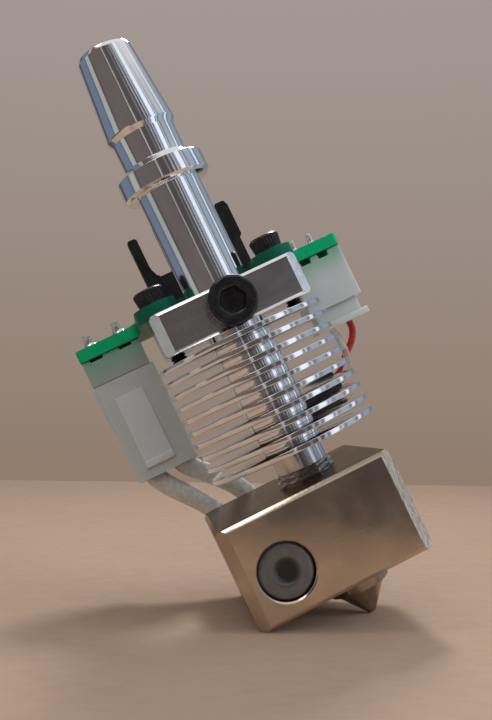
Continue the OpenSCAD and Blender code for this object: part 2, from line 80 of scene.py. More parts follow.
def make_camera():
    """The photograph's viewpoint: yaw, then pitch, then roll about the line of sight."""
    flat = Vector((math.sin(CAMERA_YAW), math.cos(CAMERA_YAW), 0))
    forward = math.cos(CAMERA_PITCH) * flat + math.sin(CAMERA_PITCH) * Vector((0, 0, 1))
    level_right = Vector((math.cos(CAMERA_YAW), -math.sin(CAMERA_YAW), 0))
    level_up = level_right.cross(forward)
    right = math.cos(CAMERA_ROLL) * level_right - math.sin(CAMERA_ROLL) * level_up
    up = math.sin(CAMERA_ROLL) * level_right + math.cos(CAMERA_ROLL) * level_up
    turn = Matrix((right, up, -forward)).transposed()
    data = bpy.data.cameras.new("camera")
    data.sensor_fit = "VERTICAL"
    data.sensor_height = 36
    data.lens = CAMERA_LENS
    data.clip_start = 0.002
    data.clip_end = 20
    camera = bpy.data.objects.new("camera", data)
    camera.matrix_world = Matrix.Translation(CAMERA_PLACE) @ turn.to_4x4()
    bpy.context.scene.collection.objects.link(camera)
    bpy.context.scene.camera = camera


def area_light(name, offset, size, power, colour, mirrored=False):
    """A square soft box aimed at the object's middle, offset right, up and back from there (metres)."""
    target = (cad_low + cad_high) / 2
    right, up, back = offset
    place = target + ROOM_RIGHT * right + ROOM_UP * up + ROOM_BACK * back
    data = bpy.data.lights.new(name, "AREA")
    data.shape = "SQUARE"
    data.size = size
    data.energy = power
    data.color = colour
    light = bpy.data.objects.new(name, data)
    light.location = place
    light.rotation_mode = "QUATERNION"
    light.rotation_quaternion = (target - place).to_track_quat("-Z", "Y")
    light.visible_glossy = mirrored
    bpy.context.scene.collection.objects.link(light)


def make_lights():
    area_light("key_light", (0.03, 0.27, 0.25), 0.07, power=0.75, colour=(1.0, 0.97, 0.94), mirrored=True)
    area_light("right_fill", (0.30, 0.20, -0.06), 0.2, power=0.35, colour=(0.92, 0.97, 1.0))
    area_light("front_fill", (-0.10, 0.16, -0.33), 0.3, power=0.36, colour=(0.97, 0.98, 1.0))


def node(tree, kind, **values):
    """A new node with those properties set."""
    made = tree.nodes.new(kind)
    for key, value in values.items():
        setattr(made, key, value)
    return made


def set_inputs(made, **values):
    """Sets the node's sockets by name, with _ for a space."""
    for key, value in values.items():
        made.inputs[key.replace("_", " ")].default_value = value
    return made


def math_node(tree, operation, a, b=None):
    """One step of arithmetic. Each side is a number or a socket."""
    made = node(tree, "ShaderNodeMath", operation=operation)
    for socket, value in zip(made.inputs, (a, b)):
        if value is None:
            continue
        if isinstance(value, (int, float)):
            socket.default_value = value
        else:
            tree.links.new(value, socket)
    return made.outputs[0]


def remap(tree, value, low, high, to_low=0.0, to_high=1.0, smooth=True):
    """The value's place between low and high, as a number between to_low and to_high."""
    made = node(tree, "ShaderNodeMapRange", interpolation_type="SMOOTHSTEP" if smooth else "LINEAR")
    tree.links.new(value, made.inputs["Value"])
    made.inputs["From Min"].default_value = low
    made.inputs["From Max"].default_value = high
    made.inputs["To Min"].default_value = to_low
    made.inputs["To Max"].default_value = to_high
    return made.outputs["Result"]


def mix_colour(tree, factor, a, b, blend="MIX"):
    """Blends a into b. Each of the three is a socket, a number or a colour."""
    made = node(tree, "ShaderNodeMix", data_type="RGBA", blend_type=blend)
    for socket, value in zip((made.inputs[0], made.inputs[6], made.inputs[7]), (factor, a, b)):
        if isinstance(value, (int, float)):
            socket.default_value = value
        elif isinstance(value, tuple):
            socket.default_value = (*value, 1)
        else:
            tree.links.new(value, socket)
    return made.outputs[2]


def vector_node(tree, operation, vector, other=None):
    """One step of vector arithmetic. A length or a dot product comes back as a number."""
    made = node(tree, "ShaderNodeVectorMath", operation=operation)
    tree.links.new(vector, made.inputs[0])
    if other is not None:
        made.inputs[1].default_value = other
    return made.outputs["Value" if operation in ("DOT_PRODUCT", "LENGTH") else "Vector"]


def split_axes(tree, vector):
    """The vector's X, Y and Z, as sockets."""
    made = node(tree, "ShaderNodeSeparateXYZ")
    tree.links.new(vector, made.inputs[0])
    return made.outputs


WALL_LOW = (0.28, 0.205, 0.155)
WALL_HIGH = (0.365, 0.315, 0.292)
BEHIND = (0.31, 0.25, 0.21)
DARK_ROOM = (0.085, 0.072, 0.070)
BRIGHT_ROOM = (0.19, 0.215, 0.26)
CEILING = (0.80, 0.78, 0.75)
LAMP = (3.2, 3.1, 2.95)
LAMP_WAY = Vector((-0.06, -0.15, 0.985)).normalized()
LOW_ROOM = (0.085, 0.066, 0.055)
# where a part of the room starts to show and where it is full, in degrees from -Y towards +X
BRIGHT_SIDE = (30, 42)
# the same, in degrees from -Y to either side
REAR = (146, 158)
# the same, as the share of a direction that points up, or at the lamp
CEILING_RISE = (0.66, 0.92)
LOW_FALL = (-0.32, -0.62)
LAMP_RIM = (0.978, 0.994)
WALL_RISE = (-0.05, 0.42)
# soft boxes round the room: start and end in degrees from -Y towards +X, softness, colour
SOFT_BOXES = [
    (-130, -100, 9, (0.15, 0.19, 0.27)),
    (-89, -75, 5, (0.40, 0.41, 0.40)),
    (-64, -14, 4, (0.140, 0.113, 0.112)),
    (-7.5, -5.5, 1.2, (0.50, 0.49, 0.50)),
    (15, 17, 1.5, (0.20, 0.20, 0.22)),
    (26.5, 28.5, 1.2, (0.45, 0.47, 0.52)),
    (36, 38, 1.2, (0.50, 0.53, 0.58)),
    (46, 57, 3, (0.88, 0.95, 1.08)),
    (63, 65, 1.2, (0.60, 0.66, 0.75)),
    (73, 88, 2, (0.34, 0.40, 0.48)),
    (96, 102, 1.5, (0.80, 0.87, 0.97)),
    (112, 129, 4, (0.27, 0.33, 0.42)),
]


def make_world():
    """A room that only reflections and light see, and the plain wall that the camera sees."""
    world = bpy.data.worlds.new("soft_room")
    bpy.context.scene.world = world
    world.use_nodes = True
    tree = world.node_tree
    tree.nodes.clear()
    direction = node(tree, "ShaderNodeTexCoord").outputs["Generated"]
    axes = split_axes(tree, direction)
    azimuth = math_node(tree, "ARCTAN2", axes["X"], math_node(tree, "MULTIPLY", axes["Y"], -1.0))
    degrees = math_node(tree, "MULTIPLY", azimuth, 180 / math.pi)
    ahead = mix_colour(tree, remap(tree, degrees, *BRIGHT_SIDE), DARK_ROOM, BRIGHT_ROOM)
    rear = remap(tree, math_node(tree, "ABSOLUTE", degrees), *REAR)
    round_room = mix_colour(tree, rear, ahead, BEHIND)
    for start, end, soft, colour in SOFT_BOXES:
        inside = math_node(
            tree, "MULTIPLY",
            remap(tree, degrees, start - soft, start),
            remap(tree, degrees, end + soft, end),
        )
        round_room = mix_colour(tree, inside, round_room, colour)

    height = vector_node(tree, "DOT_PRODUCT", direction, ROOM_UP)
    room = mix_colour(tree, remap(tree, height, *CEILING_RISE), round_room, CEILING)
    room = mix_colour(tree, remap(tree, height, *LOW_FALL), room, LOW_ROOM)
    towards_lamp = vector_node(tree, "DOT_PRODUCT", direction, LAMP_WAY)
    room = mix_colour(tree, remap(tree, towards_lamp, *LAMP_RIM), room, LAMP)

    path = node(tree, "ShaderNodeLightPath")
    wall = mix_colour(tree, remap(tree, height, *WALL_RISE, smooth=False), WALL_LOW, WALL_HIGH)
    seen = mix_colour(tree, path.outputs["Is Camera Ray"], room, wall)
    background = node(tree, "ShaderNodeBackground")
    tree.links.new(seen, background.inputs["Color"])
    output = node(tree, "ShaderNodeOutputWorld")
    tree.links.new(background.outputs[0], output.inputs["Surface"])


# ---------------------------------------------------------------- materials

class Look:
    """A Principled material being built, with the textures that the materials below share."""

    def __init__(self, name, **values):
        self.material = bpy.data.materials.new(name)
        self.material.use_nodes = True
        self.tree = self.material.node_tree
        self.shader = self.tree.nodes["Principled BSDF"]
        for key, value in values.items():
            self.shader.inputs[key.replace("_", " ")].default_value = value
        self.place = node(self.tree, "ShaderNodeTexCoord").outputs["Object"]
        self.heights = []

    def stretched(self, scale):
        return vector_node(self.tree, "MULTIPLY", self.place, scale)

    def noise(self, scale, detail=3.0, stretch=(1, 1, 1), roughness=0.55):
        """Noise whose features are about 1/scale metres wide."""
        made = node(self.tree, "ShaderNodeTexNoise")
        self.tree.links.new(self.stretched(tuple(scale * s for s in stretch)), made.inputs["Vector"])
        set_inputs(made, Scale=1.0, Detail=detail, Roughness=roughness)
        return made.outputs["Fac"]

    def cells(self, scale, stretch=(1, 1, 1)):
        """Distance from the nearest of many scattered points, about 1/scale metres apart."""
        made = node(self.tree, "ShaderNodeTexVoronoi", feature="F1")
        self.tree.links.new(self.stretched(tuple(scale * s for s in stretch)), made.inputs["Vector"])
        set_inputs(made, Scale=1.0)
        return made.outputs["Distance"]

    def turned_rings(self, scale):
        """Noise that depends only on height and on distance from the upright axis, as a lathe leaves it."""
        tree = self.tree
        from_axis = vector_node(tree, "LENGTH", vector_node(tree, "MULTIPLY", self.place, (1, 1, 0)))
        height = split_axes(tree, self.place)["Z"]
        joined = node(tree, "ShaderNodeCombineXYZ")
        tree.links.new(math_node(tree, "MULTIPLY", from_axis, scale), joined.inputs[0])
        tree.links.new(math_node(tree, "MULTIPLY", height, scale), joined.inputs[1])
        made = node(tree, "ShaderNodeTexNoise")
        tree.links.new(joined.outputs[0], made.inputs["Vector"])
        set_inputs(made, Scale=1.0, Detail=3.0, Roughness=0.6)
        return made.outputs["Fac"]

    def edges(self, start=0.62, end=0.95):
        """1 on bevels and chamfers, 0 on faces square to X, Y or Z."""
        normal = node(self.tree, "ShaderNodeNewGeometry").outputs["Normal"]
        size = split_axes(self.tree, vector_node(self.tree, "ABSOLUTE", normal))
        most = math_node(self.tree, "MAXIMUM", size["X"], size["Y"])
        most = math_node(self.tree, "MAXIMUM", most, size["Z"])
        return remap(self.tree, most, end, start)

    def upward(self):
        """The normal's upright part, from -1 to 1."""
        normal = node(self.tree, "ShaderNodeNewGeometry").outputs["Normal"]
        return split_axes(self.tree, normal)["Z"]

    def colour(self, value):
        self.tree.links.new(value, self.shader.inputs["Base Color"])

    def roughness(self, value, low, high):
        """Roughness between low and high, as the noise in value varies."""
        self.tree.links.new(remap(self.tree, value, 0.25, 0.75, low, high), self.shader.inputs["Roughness"])

    def bump(self, height, depth, strength):
        """Adds a bump whose full height is depth mm."""
        self.heights.append((height, depth * MM, strength))

    def done(self):
        """Chains the bumps, and gives the finished material."""
        normal = None
        for height, depth, strength in self.heights:
            made = node(self.tree, "ShaderNodeBump")
            set_inputs(made, Distance=depth)
            if isinstance(strength, (int, float)):
                made.inputs["Strength"].default_value = strength
            else:
                self.tree.links.new(strength, made.inputs["Strength"])
            self.tree.links.new(height, made.inputs["Height"])
            if normal is not None:
                self.tree.links.new(normal, made.inputs["Normal"])
            normal = made.outputs["Normal"]
        if normal is not None:
            self.tree.links.new(normal, self.shader.inputs["Normal"])
        return self.material


def two_tone(look, factor, dark, light):
    """Colours the look between two tones, as the noise in factor varies."""
    look.colour(mix_colour(look.tree, remap(look.tree, factor, 0.3, 0.7), dark, light))


def polished_aluminium():
    look = Look("polished_aluminium", Metallic=1.0)
    rings = look.turned_rings(9000)
    smears = look.noise(420, stretch=(1, 1, 0.35))
    two_tone(look, smears, (0.84, 0.85, 0.87), (0.93, 0.94, 0.95))
    look.roughness(look.noise(900, stretch=(1, 1, 0.2)), 0.055, 0.13)
    look.bump(rings, 0.0035, 0.5)
    look.bump(look.noise(3600, stretch=(1, 1, 0.05)), 0.005, 0.5)
    look.bump(look.noise(160, detail=1.0), 0.01, 0.25)
    return look.done()


def clamp_aluminium():
    look = Look("clamp_aluminium", Metallic=1.0)
    brushed = look.noise(5200, stretch=(0.035, 1, 1))
    two_tone(look, look.noise(300), (0.76, 0.77, 0.80), (0.88, 0.88, 0.90))
    look.roughness(look.noise(700, stretch=(0.3, 1, 1)), 0.13, 0.24)
    look.bump(brushed, 0.004, 0.45)
    look.bump(look.noise(2600), 0.012, look.edges())
    return look.done()


def nickel_plate():
    look = Look("nickel_plate", Metallic=1.0, Specular_Tint=(0.42, 0.40, 0.38, 1.0))
    tree = look.tree
    blotches = remap(tree, look.noise(140, detail=5), 0.3, 0.7)
    plain = mix_colour(tree, blotches, (0.57, 0.48, 0.385), (0.69, 0.595, 0.485))
    # painted dark reflection on the upward bevels, but not at their left end
    top_edge = math_node(tree, "MULTIPLY", look.edges(), remap(tree, look.upward(), 0.3, 0.6))
    dark_reflection_share = remap(tree, split_axes(tree, look.place)["X"], -9 * MM, -3 * MM, 0.0, 0.72)
    painted_dark_reflection = math_node(tree, "MULTIPLY", top_edge, dark_reflection_share)
    look.colour(mix_colour(tree, painted_dark_reflection, plain, (0.12, 0.10, 0.085)))
    # the bevels are glossier than the faces, and less even
    rough = remap(tree, look.noise(330, detail=5), 0.25, 0.75, 0.14, 0.23)
    smoother = math_node(tree, "MULTIPLY", look.edges(), 0.5)
    rough = math_node(tree, "MULTIPLY", rough, math_node(tree, "SUBTRACT", 1.0, smoother))
    tree.links.new(rough, look.shader.inputs["Roughness"])
    uneven = math_node(tree, "MULTIPLY", look.edges(), 0.9)
    look.bump(look.noise(4200, stretch=(0.06, 1, 1)), 0.0035, 0.4)
    look.bump(look.noise(1500, detail=4, roughness=0.6), 0.03, uneven)
    look.bump(look.noise(120, detail=1), 0.04, 0.2)
    return look.done()


def plain_steel():
    look = Look("plain_steel", Metallic=1.0)
    two_tone(look, look.noise(500, stretch=(1, 1, 0.3)), (0.50, 0.50, 0.51), (0.66, 0.65, 0.65))
    look.roughness(look.noise(1300), 0.10, 0.2)
    look.bump(look.turned_rings(8000), 0.004, 0.5)
    return look.done()


def cartridge_steel():
    look = Look("cartridge_steel", Metallic=0.85)
    tree = look.tree
    metal = mix_colour(tree, look.noise(1100, detail=5), (0.15, 0.16, 0.175), (0.31, 0.315, 0.325))
    # the middle of the end face is darker
    low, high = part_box("heater_cartridge")
    across = vector_node(tree, "SUBTRACT", look.place, (low + high) / 2)
    from_axis = vector_node(tree, "LENGTH", vector_node(tree, "MULTIPLY", across, (1, 0, 1)))
    middle = remap(tree, from_axis, 1.8 * MM, 0.9 * MM)
    look.colour(mix_colour(tree, middle, metal, (0.06, 0.055, 0.052)))
    look.roughness(look.noise(1500), 0.30, 0.46)
    look.bump(look.noise(3800, detail=4), 0.012, 0.6)
    return look.done()


def black_steel():
    look = Look("black_steel", Metallic=0.5, Coat_Weight=0.22, Coat_Roughness=0.2)
    two_tone(look, look.noise(1400, detail=4), (0.012, 0.012, 0.013), (0.036, 0.036, 0.039))
    look.roughness(look.noise(2400), 0.30, 0.46)
    look.bump(look.noise(6000, detail=4), 0.01, 0.5)
    return look.done()


def nozzle_metal():
    look = Look("nozzle_metal", Metallic=1.0)
    two_tone(look, look.noise(700, stretch=(1, 1, 0.4)), (0.30, 0.235, 0.175), (0.44, 0.36, 0.28))
    look.roughness(look.noise(1600), 0.16, 0.28)
    look.bump(look.turned_rings(5200), 0.004, 0.5)
    return look.done()


def liner_plastic():
    look = Look("liner_plastic", Subsurface_Weight=0.4, Subsurface_Scale=0.001)
    two_tone(look, look.noise(500), (0.80, 0.80, 0.78), (0.90, 0.90, 0.88))
    look.roughness(look.noise(900), 0.3, 0.45)
    look.bump(look.noise(2500, stretch=(1, 1, 0.1)), 0.01, 0.5)
    return look.done()


def green_board():
    look = Look("green_board", Specular_IOR_Level=0.22)
    tree = look.tree
    broad = remap(tree, math_node(tree, "ABSOLUTE", look.upward()), 0.25, 0.7)
    weave = look.noise(2600, stretch=(1, 0.25, 1))
    face = mix_colour(tree, weave, (0.003, 0.115, 0.055), (0.006, 0.165, 0.08))
    # painted glow: the rims' green is brighter than the faces'
    rim = mix_colour(tree, look.noise(1500, detail=4), (0.001, 0.40, 0.135), (0.003, 0.56, 0.24))
    # the wings' rims keep the painted glow, and those between the clamp and the fork get painted shade
    from_middle = math_node(tree, "ABSOLUTE", split_axes(tree, look.place)["X"])
    rim = mix_colour(tree, remap(tree, from_middle, 9.6 * MM, 11.2 * MM), (0.002, 0.125, 0.072), rim)
    look.colour(mix_colour(tree, broad, rim, face))
    look.roughness(look.noise(1200), 0.36, 0.54)
    look.bump(look.cells(1500, stretch=(1, 1, 0.2)), 0.01, 0.35)
    look.bump(look.noise(5200, detail=4), 0.008, 0.5)
    return look.done()


def black_plastic():
    look = Look("black_plastic", Specular_IOR_Level=0.45)
    two_tone(look, look.noise(800), (0.007, 0.007, 0.008), (0.018, 0.019, 0.021))
    look.roughness(look.noise(1700), 0.38, 0.58)
    look.bump(look.noise(5600, detail=4), 0.02, 0.55)
    return look.done()


def white_nylon():
    look = Look(
        "white_nylon",
        Transmission_Weight=0.14,
        IOR=1.46,
        Subsurface_Weight=0.45,
        Subsurface_Scale=0.0012,
        Subsurface_Radius=(1.0, 0.9, 0.8),
    )
    tree = look.tree
    plain = mix_colour(tree, look.noise(420, detail=4), (0.68, 0.735, 0.725), (0.80, 0.85, 0.84))
    axes = split_axes(tree, look.place)
    # painted shade: the heater header's dark inside, as seen through its thin walls
    left = remap(tree, axes["X"], -5 * MM, -9 * MM)
    painted_inner_shade = math_node(tree, "MULTIPLY", left, remap(tree, axes["Z"], -16.9 * MM, -16.6 * MM))
    plain = mix_colour(tree, math_node(tree, "MULTIPLY", painted_inner_shade, 0.5), plain, (0.30, 0.31, 0.28))
    # painted shade: the plug's dark inside, seen through its thin walls beside its solid latch
    painted_wall_shade = math_node(tree, "MULTIPLY", left, remap(tree, axes["Y"], 10.5 * MM, 10.7 * MM))
    plain = mix_colour(tree, math_node(tree, "MULTIPLY", painted_wall_shade, 0.22), plain, (0.32, 0.30, 0.27))
    # light through the board tints the nylon under it
    tint = math_node(tree, "MULTIPLY", remap(tree, axes["Z"], -16.8 * MM, -13.4 * MM), 0.7)
    tinted = mix_colour(tree, tint, plain, (0.20, 0.58, 0.38))
    # painted green light from the board in the gaps between the feet
    high_up = remap(tree, axes["Z"], -14.1 * MM, -13.9 * MM)
    painted_gap_glow = math_node(tree, "MULTIPLY", high_up, remap(tree, axes["Y"], 10.95 * MM, 11.05 * MM))
    look.colour(mix_colour(tree, painted_gap_glow, tinted, (0.01, 0.75, 0.30)))
    look.roughness(look.noise(900), 0.30, 0.46)
    look.bump(look.noise(4200, detail=3), 0.012, 0.5)
    look.bump(look.noise(260), 0.06, 0.2)
    return look.done()


def tinned_metal():
    look = Look("tinned_metal", Metallic=0.7)
    two_tone(look, look.noise(1800), (0.80, 0.80, 0.79), (0.94, 0.94, 0.93))
    look.roughness(look.noise(2500), 0.18, 0.34)
    look.bump(look.noise(4200), 0.012, 0.5)
    return look.done()


def contact_metal():
    look = Look("contact_metal", Metallic=1.0)
    two_tone(look, look.noise(1600), (0.62, 0.50, 0.27), (0.78, 0.68, 0.42))
    look.roughness(look.noise(2200), 0.2, 0.34)
    look.bump(look.noise(5200, stretch=(1, 1, 0.15)), 0.008, 0.5)
    return look.done()


def solder():
    look = Look("solder", Metallic=1.0)
    two_tone(look, look.noise(1500), (0.66, 0.66, 0.67), (0.86, 0.86, 0.87))
    look.roughness(look.noise(2600), 0.10, 0.26)
    look.bump(look.noise(1900, detail=4), 0.04, 0.5)
    return look.done()


def glass_fibre_sleeve():
    look = Look("glass_fibre_sleeve", Sheen_Weight=0.25, Sheen_Roughness=0.45, Subsurface_Weight=0.15,
                Subsurface_Scale=0.0006)
    two_tone(look, look.noise(1700, detail=5), (0.56, 0.56, 0.53), (0.74, 0.73, 0.69))
    look.roughness(look.noise(2400), 0.42, 0.62)
    look.bump(look.noise(9000, detail=4), 0.02, 0.5)
    return look.done()


def red_insulation():
    look = Look("red_insulation", Coat_Weight=0.2, Coat_Roughness=0.2)
    two_tone(look, look.noise(1500), (0.40, 0.014, 0.008), (0.58, 0.03, 0.016))
    look.roughness(look.noise(1800), 0.26, 0.4)
    look.bump(look.noise(3600), 0.01, 0.4)
    return look.done()


def white_insulation():
    look = Look("white_insulation", Transmission_Weight=0.8, IOR=1.38, Coat_Weight=0.2, Coat_Roughness=0.2)
    two_tone(look, look.noise(1500), (0.80, 0.82, 0.77), (0.90, 0.92, 0.87))
    look.roughness(look.noise(1800), 0.26, 0.4)
    look.bump(look.noise(3600), 0.01, 0.4)
    return look.done()


def shrink_sleeve():
    look = Look("shrink_sleeve", Specular_IOR_Level=0.4)
    two_tone(look, look.noise(900), (0.008, 0.008, 0.009), (0.022, 0.022, 0.024))
    look.roughness(look.noise(1500), 0.40, 0.58)
    look.bump(look.noise(2600, detail=4), 0.03, 0.5)
    return look.done()


def table_top():
    """The only look that isn't the object's: finely fibred, with painted shade that darkens it towards the
    back, clear from below.
    """
    look = Look("table_top", Specular_IOR_Level=0.15)
    tree = look.tree
    fibres = look.noise(700, detail=8, stretch=(0.3, 1, 1))
    grain = mix_colour(tree, fibres, (0.455, 0.322, 0.234), (0.53, 0.38, 0.285))
    clouds = mix_colour(tree, look.noise(45, detail=5), (0.89, 0.88, 0.87), (1.0, 1.0, 1.0))
    even = mix_colour(tree, 1.0, grain, clouds, "MULTIPLY")
    # painted shade, darker towards the back
    painted_back_shade = remap(tree, split_axes(tree, look.place)["Y"], -80 * MM, 200 * MM, 0.0, 0.36, smooth=False)
    look.colour(mix_colour(tree, painted_back_shade, even, (0.0, 0.0, 0.0)))
    look.roughness(look.noise(400), 0.6, 0.8)
    look.bump(look.noise(1800, detail=6), 0.08, 0.6)
    clear = node(tree, "ShaderNodeBsdfTransparent")
    both = node(tree, "ShaderNodeMixShader")
    tree.links.new(node(tree, "ShaderNodeNewGeometry").outputs["Backfacing"], both.inputs[0])
    tree.links.new(look.shader.outputs[0], both.inputs[1])
    tree.links.new(clear.outputs[0], both.inputs[2])
    tree.links.new(both.outputs[0], tree.nodes["Material Output"].inputs["Surface"])
    return look.done()


LOOKS = {
    make.__name__: make()
    for make in (
        polished_aluminium, clamp_aluminium, nickel_plate, plain_steel, cartridge_steel,
        black_steel, nozzle_metal, liner_plastic, green_board, black_plastic, white_nylon,
        tinned_metal, contact_metal, solder, glass_fibre_sleeve, red_insulation, white_insulation,
        shrink_sleeve,
    )
}


TABLE_POINT = Vector((-0.5, 0, -54.4)) * MM      # where the nozzle's tip rests on it


def make_floor():
    """A finite table top, tilted as the object leans, with only its upper side shown."""
    left, right = -85 * MM, 125 * MM
    front, back = -90 * MM, 240 * MM
    bm = bmesh.new()
    corners = [
        bm.verts.new(TABLE_POINT + ROOM_RIGHT * x + ROOM_BACK * y)
        for x, y in ((left, front), (right, front), (right, back), (left, back))
    ]
    bm.faces.new(corners)
    mesh = bpy.data.meshes.new("table_top")
    bm.to_mesh(mesh)
    bm.free()
    floor = bpy.data.objects.new("table_top", mesh)
    floor.data.materials.append(table_top())
    bpy.context.scene.collection.objects.link(floor)


# ---------------------------------------------------------------- pieces

# a face wider than this is flat, and edges over these angles (degrees) are sharp: beside it, and elsewhere
FLAT_WIDTH = 0.9 * MM
FLAT_ANGLE = 1.5
SMOOTH_ANGLE = 35


def shade(bm, smooth):
    """Smooth shading, broken at edges over that angle (degrees) and all round the broad flat faces."""
    flat = set()
    for face in bm.faces:
        face.smooth = True
        longest = max(edge.calc_length() for edge in face.edges)
        if face.calc_area() / longest > FLAT_WIDTH:
            flat.add(face)
    for edge in bm.edges:
        bend = edge.calc_face_angle(0)
        beside_flat = any(face in flat for face in edge.link_faces)
        edge.smooth = bend < math.radians(FLAT_ANGLE if beside_flat else smooth)


def piece(name, bm, slot, body="frame", stands_for=(), smooth=SMOOTH_ANGLE):
    """Makes bm an object of the slot's material that rides on body and stands for those CAD nodes."""
    bmesh.ops.recalc_face_normals(bm, faces=bm.faces)
    shade(bm, smooth)
    mesh = bpy.data.meshes.new(name)
    bm.to_mesh(mesh)
    bm.free()
    made = bpy.data.objects.new(name, mesh)
    made.data.materials.append(LOOKS[slot])
    bpy.context.scene.collection.objects.link(made)
    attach(made, body)
    if stands_for:
        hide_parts(*stands_for)
    return made


def turned(rings, sides=96, closed=False):
    """Surface through rings round +Z, in mm. A ring is (radius, height) or (radius, height, shape)."""
    bm = bmesh.new()
    loops = []
    for ring in rings:
        radius, height = ring[0], ring[1]
        shape = ring[2] if len(ring) > 2 else None
        if radius == 0:
            loops.append([bm.verts.new((0, 0, height * MM))])
            continue
        loop = []
        for k in range(sides):
            angle = 2 * math.pi * k / sides
            r, z = shape(angle, radius, height) if shape else (radius, height)
            loop.append(bm.verts.new((r * math.cos(angle) * MM, r * math.sin(angle) * MM, z * MM)))
        loops.append(loop)
    pairs = list(zip(loops, loops[1:]))
    if closed:
        pairs.append((loops[-1], loops[0]))
    for low, high in pairs:
        for k in range(sides):
            n = (k + 1) % sides
            if len(low) == 1 and len(high) == 1:
                continue
            if len(low) == 1:
                bm.faces.new((low[0], high[n], high[k]))
            elif len(high) == 1:
                bm.faces.new((low[k], low[n], high[0]))
            else:
                bm.faces.new((low[k], low[n], high[n], high[k]))
    return bm


def rounded(points, radius, steps=3, closed=False):
    """The outline with each corner rounded by up to that radius (mm)."""
    count = len(points)
    made = []
    for i, point in enumerate(points):
        if not closed and i in (0, count - 1):
            made.append(point)
            continue
        here = Vector(point)
        before = Vector(points[i - 1]) - here
        after = Vector(points[(i + 1) % count]) - here
        if before.length < 1e-6 or after.length < 1e-6:
            made.append(point)
            continue
        corner = before.angle(after)
        if corner > math.radians(176):
            made.append(point)
            continue
        reach = min(radius / math.tan(corner / 2), 0.45 * before.length, 0.45 * after.length)
        start = here + before.normalized() * reach
        end = here + after.normalized() * reach
        for k in range(steps + 1):
            t = k / steps
            made.append(tuple((1 - t) ** 2 * start + 2 * t * (1 - t) * here + t * t * end))
    return made


def hexagon(angle, apothem, height, most=1e9):
    """Ring shape of a hexagon with corners on the X axis, its corners cut back to a radius."""
    within = angle % (math.pi / 3) - math.pi / 6
    return min(apothem / math.cos(within), most), height


def hexagon_cut(most):
    """Ring shape of a hexagon whose corners are cut back to that radius."""
    return lambda angle, radius, height: hexagon(angle, radius, height, most)


def knurled(depth, teeth):
    """Ring shape of a knurled head, with that many grooves."""
    def shape(angle, radius, height):
        return radius - depth * (0.5 + 0.5 * math.cos(teeth * angle)) ** 0.7, height
    return shape


def threaded(depth, pitch):
    """Ring shape of a right-handed thread cut that deep into the ring's radius."""
    def shape(angle, radius, height):
        turn = (height / pitch - angle / (2 * math.pi)) % 1.0
        slope = abs(2 * turn - 1)
        return radius - depth * min(max(1.35 * slope - 0.12, 0), 1), height
    return shape


RINGS_PER_TURN = 10
THREAD_FADE = 0.3


def thread_rings(radius, depth, pitch, low, high):
    """Rings of a thread between two heights, its depth fading out at both ends (mm)."""
    count = max(2, round((high - low) / pitch * RINGS_PER_TURN))
    made = []
    for i in range(count + 1):
        height = low + (high - low) * i / count
        full = min(1, min(height - low, high - height) / (THREAD_FADE * pitch))
        made.append((radius - depth * 0.5 * (1 - full), height, threaded(depth * full, pitch)))
    return made


def threaded_hexagon(angle, apothem, height):
    """Ring shape of the heat break's hexagon, with a coarse thread cut across its faces and corners."""
    outer, z = hexagon(angle, apothem + 0.18, height, apothem + 0.42)
    return threaded(depth=0.45, pitch=0.62)(angle, outer, z)


def move(bm, matrix):
    bmesh.ops.transform(bm, matrix=matrix, verts=bm.verts)
    return bm


def shift(x, y, z):
    return Matrix.Translation(Vector((x, y, z)) * MM)


def box_mm(name):
    """The CAD node's lowest and highest corner, in mm."""
    low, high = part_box(name)
    return low / MM, high / MM


# ---------------------------------------------------------------- turned and threaded pieces

PITCH_M2, PITCH_M3, PITCH_M6 = 0.4, 0.5, 1.0
DEPTH_M2, DEPTH_M3, DEPTH_M6 = 0.26, 0.3, 0.55

STEM_LOW, STEM_HIGH = box_mm("stem")
STEM_TOP = STEM_HIGH.z
FLANGE_R = STEM_HIGH.x
FLANGE_TOP = 2.5
NECK_LOW, NECK_TOP = 3.4, 6.8
STEM_R = 3.875
CONE_BASE_R, CONE_TOP_R = 4.27, 3.4
CONE_BASE, CONE_TOP = 7.55, 17.2
SPIGOT_R = 2.9
SPIGOT_SOCKET_R = 2.93
SPIGOT_BOTTOM = STEM_LOW.z
STEM_SHOULDER = -17.5
# rings hidden in the clamp block, which keep the foot's rounded edge out of the smooth shading above them
SHADING_RINGS = (-13.6, -13.4)
LINER_BORE_R = 2.05
BREAK_SOCKET_R = 2.13
BREAK_SOCKET_TOP = -23.95
FILAMENT_BORE_R = 1.0
M6_R = 2.97


